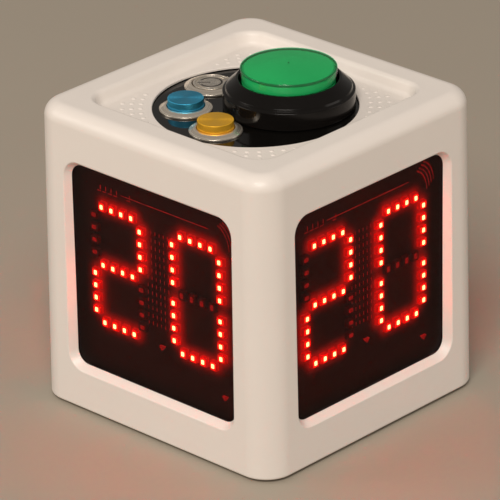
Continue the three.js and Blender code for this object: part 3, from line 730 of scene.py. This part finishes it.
def build_tracks(side):
    """The copper that shows through the mask, with a painted red glow: ticks between the digits and a few
    long runs.
    """
    tracks = Heap()
    low = BOARD_FACE - 0.05
    high = BOARD_FACE + 0.06
    for column in range(6):
        for row in range(13):
            x = -5.4 + 1.9 * column
            z = 40.0 + 2.75 * row
            tracks.slab(x, z, 0.12, 0.65, low, high)
    for line in range(4):
        reach = 31.5 + 1.1 * line
        for step in range(14):
            angle = math.radians(8 + 5.2 * step)
            x = reach - 6.0 + 6.5 * math.cos(angle)
            z = 76.0 + 9.0 * math.sin(angle) + 0.8 * line
            tracks.slab(x, z, 0.12, 0.35, low, high)
    tracks.slab(3, 82.3, 20, 0.12, low, high)
    for x in (-27, -24.5, -22, -19.5, -13.5):
        tracks.slab(x, 81.3, 0.9, 0.14, low, high)
        tracks.slab(x + 0.6, 82.6, 0.14, 0.8, low, high)
    tracks.place(f"copper_tracks_{side}", TRACE_PAINTED_GLOW, side, "circuit_black", smooth=0)


def glow_at(x, z):
    """How much of the lit diodes' light a spot of the board catches."""
    spread = 2.5
    total = 0.0
    for led_x, led_z, _, lit in led_places():
        if lit:
            total += math.exp(-((x - led_x) ** 2 + (z - led_z) ** 2) / spread ** 2)
    return min(total, 1.0)


def board_material():
    """Black solder mask with the lit diodes' red light painted round them as glow."""
    shader = Shader("solder_mask_painted_diode_glow", Roughness=0.45, Emission_Strength=1.0)
    patches = shader.noise(120.0, 4.0)
    dark = (0.005, 0.004, 0.004, 1)
    light = (0.009, 0.006, 0.006, 1)
    shader.link(shader.ramp(patches, [(0.3, dark), (0.7, light)]), shader.main.inputs["Base Color"])
    # Painted light: the lit diodes' red light on the mask, held in the glow attribute and sent out as
    # emission.
    glow = shader.node("ShaderNodeAttribute", attribute_name="glow")
    color = shader.ramp(glow.outputs["Fac"], [(0.0, (0, 0, 0, 1)), (1.0, (0.75, 0.008, 0.006, 1))])
    shader.link(color, shader.main.inputs["Emission Color"])
    shader.bump(shader.noise(700.0, 3.0), 0.00001, 0.25)
    return shader.material


BOARD_MASK = board_material()


def build_board(side):
    """The display's circuit board: a slab whose front face is fine enough to carry the painted glow of the
    lit diodes' light.
    """
    half = BOARD_HIGH.x
    low, high = BOARD_LOW.z, BOARD_HIGH.z
    columns = 84
    rows = 78
    verts = []
    for depth in (BOARD_FACE, BOARD_FACE - 1.6):
        for row in range(rows + 1):
            for column in range(columns + 1):
                x = -half + 2 * half * column / columns
                verts.append((x, low + (high - low) * row / rows, depth))
    layer = (rows + 1) * (columns + 1)

    def at(row, column, back):
        return back * layer + row * (columns + 1) + column

    faces = []
    for row in range(rows):
        for column in range(columns):
            low_edge = (at(row, column, 0), at(row, column + 1, 0))
            faces.append(low_edge + (at(row + 1, column + 1, 0), at(row + 1, column, 0)))
    edge = [at(0, c, 0) for c in range(columns)] + [at(r, columns, 0) for r in range(rows)]
    edge += [at(rows, c, 0) for c in range(columns, 0, -1)] + [at(r, 0, 0) for r in range(rows, 0, -1)]
    for a, b in zip(edge, edge[1:] + edge[:1]):
        faces.append((b, a, a + layer, b + layer))
    faces.append(tuple(layer + i for i in reversed(edge)))
    used = sorted({i for face in faces for i in face})
    order = {old: new for new, old in enumerate(used)}
    heap = Heap()
    heap.verts = [verts[i] for i in used]
    heap.faces = [tuple(order[i] for i in face) for face in faces]
    board = heap.place(f"board_{side}", BOARD_MASK, side, "circuit_black", [f"display_board_{side}"], 30)
    # The painted glow: how much of the lit diodes' light each spot of the face would catch.
    glow = board.data.attributes.new("glow", "FLOAT", "POINT")
    back = quarter(SIDES.index(side)).inverted()
    values = []
    for vertex in board.data.vertices:
        local = back @ vertex.co / MM
        values.append(glow_at(local.x, local.z) if -local.y > BOARD_FACE - 0.5 else 0.0)
    glow.data.foreach_set("value", values)


def build_lens(side):
    half = (LENS_HIGH.x - LENS_LOW.x) / 2
    front = -LENS_LOW.y
    back = -LENS_HIGH.y
    line = rounded([(-2, back, 0), (0, back, 0.15), (0, front, 0.15), (-2, front, 0)], 3)
    verts, faces = loft_points(offset_sections(line, half, half, 5.0), 8)
    heap = Heap()
    heap.verts = verts
    heap.faces = faces
    lens = heap.place(f"lens_{side}", SMOKED, side, "lens_smoked", [f"display_lens_{side}"], 40)
    return lens


def build_displays():
    for side in SIDES:
        build_board(side)
        build_leds(side)
        build_tracks(side)
        lens = build_lens(side)
        turn = quarter(SIDES.index(side))
        lens.data.transform(turn @ Matrix.Translation((0, 0, WINDOW_MIDDLE * MM)) @ turn.inverted())


# ---------------------------------------------------------------- buttons

def build_panel():
    profile = rounded([
        (0, 0, 0),
        (PANEL_RADIUS, 0, 0.2),
        (PANEL_RADIUS, 2, 0.2),
        (0, 2, 0),
    ])
    low = box_mm("control_panel")[0].z
    disc = tool(*lathe_points([(r, z + low) for r, z in profile], (0, 0), 144, False))
    holes = []
    for name, clearance in (("green", 12.3), ("blue", 7.2), ("gold", 7.2), ("power", 7.2)):
        centre = middle_mm(f"{name}_button_body")
        profile = [(0, low - 5), (clearance, low - 5), (clearance, low + 7), (0, low + 7)]
        holes.append(tool(*lathe_points(profile, centre, 64, False)))
    mesh = carve(disc, holes)
    add_mesh("panel_disc", mesh, PANEL_GLOSS, replaces=["control_panel"], smooth=30)


def raised(profile, steps=5):
    """A button's profile, rounded, with its heights counted from the panel's face."""
    return [(r, z + PANEL_TOP) for r, z in rounded(profile, steps)]


def build_green_button():
    centre = middle_mm("green_button_body")
    body = raised([
        (10.3, -22, 0),
        (12, -22, 0),
        (12, 1.3, 0),
        (19, 1.3, 0),
        (19, 0.3, 0),
        (22.1, 0.3, 0.3),
        (22.1, 6.4, 0.3),
        (21.2, 6.85, 0.12),
        (20.9, 7.55, 0.35),
        (17.4, 10.75, 0.7),
        (16.7, 10.55, 0.25),
        (16.7, 3, 0),
        (10.3, 3, 0),
    ])
    lathe("green_bezel", body, centre, BLACK_GLOSS, 144, True, slot="panel_black",
          replaces=["green_button_body"])
    shell = raised([
        (15.75, 6.6, 0),
        (16.15, 6.6, 0.15),
        (16.15, 14.35, 0.5),
        (15.0, 14.6, 0.4),
        (12.0, 15.05, 4),
        (8.0, 15.45, 6),
        (4.0, 15.7, 6),
        (0, 15.8, 0),
        (0, 14.9, 0),
        (8.0, 14.6, 0),
        (15.1, 14.05, 0.3),
        (15.75, 13.7, 0.1),
    ])
    lathe("green_cap_shell", shell, centre, GREEN, 128, True, body="green_plunger", slot="cap_green",
          replaces=["green_button_cap"])
    core = raised([
        (8.0, -8, 0),
        (9.8, -8, 0.2),
        (9.8, 7.0, 0.3),
        (15.1, 7.0, 0.2),
        (15.1, 8.0, 0.1),
        (15.65, 8.2, 0.1),
        (15.65, 9.3, 0.1),
        (15.25, 9.5, 0.05),
        (15.25, 10.0, 0.05),
        (15.6, 10.15, 0.05),
        (15.6, 12.9, 0.2),
        (14.9, 13.85, 0.2),
        (8.0, 14.4, 4),
        (0, 14.7, 0),
        (0, 12.2, 0),
        (8.0, 12.0, 0.3),
    ])
    lathe("green_cap_core", core, centre, GREEN_MILK, 96, True, body="green_plunger", slot="lamp_white")
    # Painted shade: a dark ring inside the clear shell at the top's rim, for the dark line the clear wall
    # shows there edge-on.
    rim_shade = raised([
        (15.6, 13.5, 0),
        (16.0, 13.5, 0.1),
        (16.0, 14.1, 0.15),
        (15.6, 14.15, 0.1),
    ])
    lathe("green_cap_painted_rim_shade", rim_shade, centre, GREEN_GATE_AND_RIM_SHADE, 96, True, body="green_plunger", slot="cap_green")
    gate = [(0, 15.6), (0.28, 15.6), (0.28, 15.84), (0.2, 15.88), (0, 15.88)]
    lathe("green_cap_gate", [(r, z + PANEL_TOP - 0.1) for r, z in gate], centre, GREEN_GATE_AND_RIM_SHADE, 20,
          body="green_plunger", slot="cap_green")


def build_small_button(name, cap_material, slot):
    body = middle_mm(f"{name}_button_body")
    low, high = box_mm(f"{name}_button_cap")
    radius = (high.x - low.x) / 2
    top = high.z - PANEL_TOP
    flange = raised([
        (2.6, -16, 0),
        (6.9, -16, 0),
        (6.9, 0.6, 0),
        (8.5, 0.6, 0),
        (8.5, 0.06, 0),
        (8.9, 0.06, 0.05),
        (8.9, 0.62, 0.15),
        (7.15, 1.5, 0.3),
        (6.5, 1.6, 0.12),
        (6.35, 1.0, 0),
        (6.35, -6, 0),
        (2.6, -6, 0),
    ])
    lathe(f"{name}_flange", flange, body, BRIGHT_STEEL, 96, True, slot="steel",
          replaces=[f"{name}_button_body"])
    gasket = raised([
        (7.2, 0.05, 0),
        (8.3, 0.05, 0.15),
        (8.3, 0.5, 0.15),
        (7.2, 0.5, 0),
    ], 3)
    lathe(f"{name}_seal", gasket, body, RUBBER, 72, True, slot="rubber_black",
          replaces=[f"{name}_button_gasket"])
    tall = name != "power"
    cap_low = 0.2 if tall else -0.4
    profile = [
        (0, -13, 0),
        (2.2, -13, 0.2),
        (2.2, cap_low, 0),
        (radius + 0.1, cap_low, 0.1),
    ]
    if tall:
        profile += [
            (radius + 0.1, 1.95, 0.06),
            (radius - 0.04, 2.0, 0.04),
            (radius - 0.04, 2.16, 0.04),
            (radius, 2.2, 0),
            (radius, top, 0.22),
            (0, top, 0),
        ]
    else:
        profile += [
            (radius + 0.1, top, 0.15),
            (radius - 0.75, top, 0.08),
            (radius - 0.8, top - 0.35, 0.05),
            (radius - 1.1, top - 0.35, 0.05),
            (radius - 1.15, top - 0.02, 0.05),
            (0, top, 0),
        ]
    verts, faces = lathe_points(raised(profile), (body.x, body.y), 96, False)
    if tall:
        add_piece(f"{name}_cap", verts, faces, cap_material, f"{name}_plunger", slot,
                  [f"{name}_button_cap"])
        return
    face = PANEL_TOP + top
    mesh = carve(tool(verts, faces), power_symbol(body, face - SYMBOL_DEPTH, face + 1))
    add_mesh("power_cap", mesh, cap_material, "power_plunger", ["power_button_cap"])
    ring, bar = power_symbol(body, face - SYMBOL_DEPTH - 0.1, face - 0.07)
    for word, mark in (("ring", ring), ("bar", bar)):
        mesh = mark.data.copy()
        bpy.data.objects.remove(mark)
        add_mesh(f"power_mark_{word}", mesh, ENAMEL, "power_plunger")


SYMBOL_DEPTH = 0.4


def power_symbol(centre, low, high):
    """A broken ring and a bar, which points out through the gap, to the left in the picture."""
    inner, outer = 3.35, 4.05
    gap = math.radians(30)
    facing = math.radians(CAMERA["azimuth"] + 180)
    verts = []
    faces = []
    steps = 48
    for i in range(steps + 1):
        angle = facing + gap + (2 * math.pi - 2 * gap) * i / steps
        for radius in (inner, outer):
            for z in (low, high):
                verts.append((centre.x + radius * math.cos(angle), centre.y + radius * math.sin(angle), z))
    for i in range(steps):
        a = 4 * i
        b = a + 4
        faces += [
            (a, b, b + 1, a + 1),
            (a + 2, a + 3, b + 3, b + 2),
            (a, a + 2, b + 2, b),
            (a + 1, b + 1, b + 3, a + 3),
        ]
    faces += [(0, 1, 3, 2), (4 * steps, 4 * steps + 2, 4 * steps + 3, 4 * steps + 1)]
    along = Vector((math.cos(facing), math.sin(facing)))
    across = Vector((-along.y, along.x))
    bar = []
    for z in (low, high):
        for reach, side in ((0.1, -0.36), (4.5, -0.36), (4.5, 0.36), (0.1, 0.36)):
            spot = Vector((centre.x, centre.y)) + along * reach + across * side
            bar.append((spot.x, spot.y, z))
    bar_faces = [(3, 2, 1, 0), (4, 5, 6, 7), (0, 1, 5, 4), (1, 2, 6, 5), (2, 3, 7, 6), (3, 0, 4, 7)]
    return [tool(verts, faces), tool(bar, bar_faces)]


def build_spring(button, radius, wire, turns, low, high):
    """A coil of round wire, given a mesh of its own."""
    centre = middle_mm(f"{button}_button_body")
    steps = turns * 32
    sides = 10
    verts = []
    faces = []
    for i in range(steps + 1):
        angle = 2 * math.pi * turns * i / steps
        z = low + wire + (high - low - 2 * wire) * i / steps
        for j in range(sides):
            roll = 2 * math.pi * j / sides
            reach = radius + wire * math.cos(roll)
            verts.append((
                centre.x + reach * math.cos(angle),
                centre.y + reach * math.sin(angle),
                PANEL_TOP + z + wire * math.sin(roll),
            ))
    for i in range(steps):
        for j in range(sides):
            k = (j + 1) % sides
            a = i * sides
            b = a + sides
            faces.append((a + j, a + k, b + k, b + j))
    faces.append(tuple(range(sides)))
    faces.append(tuple(steps * sides + j for j in reversed(range(sides))))
    piece = add_piece(
        f"{button}_spring", verts, faces, WIRE, slot="spring_steel",
        replaces=[f"{button}_return_spring"], smooth=60,
    )
    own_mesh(piece)


# ---------------------------------------------------------------- the rest

def build_feet():
    for i in range(1, 5):
        low, high = box_mm(f"rubber_foot_{i}")
        radius = (high.x - low.x) / 2
        profile = rounded([
            (0, 0, 0),
            (radius - 1.2, 0, 0),
            (radius, 0, 0.5),
            (radius, high.z, 0.15),
            (0, high.z, 0),
        ])
        lathe(f"foot_{i}", profile, (low + high) / 2, RUBBER, 48, slot="rubber_black",
              replaces=[f"rubber_foot_{i}"])


CARRIED = {
    "base_cover": BLACK,
    "panel_retainer": BLACK,
    "green_button_nut": BLACK,
    "green_button_gasket": RUBBER,
    "green_lamp_holder": BLACK,
    "green_lamp": LAMP,
    "green_microswitch": BLACK,
    "green_switch_lever": WIRE,
    "main_board": CIRCUIT,
    "charge_board": CIRCUIT,
    "battery_pack": WRAP,
    "battery_bracket": PLATED,
    "speaker": BLACK,
    "usb_socket": PLATED,
}


def dress_cad_nodes():
    """Every CAD node that still shows gets a material and softened edges."""
    for name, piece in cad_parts.items():
        if piece.hide_render:
            continue
        material = CARRIED.get(name)
        if not material:
            material = WIRE if name.endswith("_spring") else STEEL
            material = BLACK if name.endswith("_contact_block") else material
            material = PLATED if "screw" in name or name.endswith("_nut") else material
        piece.data.materials.clear()
        piece.data.materials.append(material)
        if not name.endswith("_spring"):
            bevel = piece.modifiers.new("soft_edges", "BEVEL")
            bevel.width = 0.15 * MM
            bevel.segments = 2
            bevel.limit_method = "ANGLE"
            bevel.angle_limit = math.radians(50)
            bevel.use_clamp_overlap = True


def build_studio():
    floor_mesh = bpy.data.meshes.new("floor")
    reach = 3.0
    floor_mesh.from_pydata(
        [(-reach, -reach, 0), (reach, -reach, 0), (reach, reach, 0), (-reach, reach, 0)], [], [(0, 1, 2, 3)]
    )
    floor = bpy.data.objects.new("floor", floor_mesh)
    bpy.context.scene.collection.objects.link(floor)
    surface = Shader("floor_paper", Roughness=0.6)
    shades = [(0.3, (0.37, 0.323, 0.262, 1)), (0.7, (0.385, 0.336, 0.272, 1))]
    color = surface.ramp(surface.noise(3.0), shades)
    surface.link(color, surface.main.inputs["Base Color"])
    floor.data.materials.append(surface.material)
    warm = (1.0, 0.93, 0.85)
    add_light("key", 35, 45, 3.4, 1.7, 89, warm)
    add_light("left", -44, 27, 1.9, 0.8, 6.5, warm)
    add_light("right", 128, 18, 1.9, 1.1, 3.6, warm)
    world = bpy.data.worlds.new("studio")
    world.use_nodes = True
    world.node_tree.nodes["Background"].inputs["Color"].default_value = (*warm, 1)
    world.node_tree.nodes["Background"].inputs["Strength"].default_value = 0.24
    bpy.context.scene.world = world
    bpy.context.scene.view_settings.view_transform = "Standard"


def add_light(name, azimuth, elevation, distance, size, power, color):
    """A round soft light that looks at the clock. Its azimuth is counted from the front to the right."""
    data = bpy.data.lights.new(name, "AREA")
    data.shape = "DISK"
    data.size = size
    data.energy = power
    data.color = color
    turn = math.radians(azimuth)
    rise = math.radians(elevation)
    away = Vector((math.sin(turn) * math.cos(rise), -math.cos(turn) * math.cos(rise), math.sin(rise)))
    lamp = bpy.data.objects.new(name, data)
    lamp.location = away * distance + Vector((0, 0, 0.05))
    lamp.rotation_euler = away.to_track_quat("Z", "Y").to_euler()
    bpy.context.scene.collection.objects.link(lamp)


build_casing()
build_dots()
build_displays()
build_panel()
build_green_button()
build_small_button("blue", BLUE, "cap_blue")
build_small_button("gold", GOLD, "cap_gold")
build_small_button("power", STEEL, "steel")
build_spring("green", 12.2, 0.55, 4, 3.3, 12.0)
build_spring("blue", 4.3, 0.4, 3, -5.7, -0.1)
build_spring("gold", 4.3, 0.4, 3, -5.7, -0.1)
build_spring("power", 4.3, 0.4, 3, -5.7, -0.7)
build_feet()
dress_cad_nodes()
build_studio()
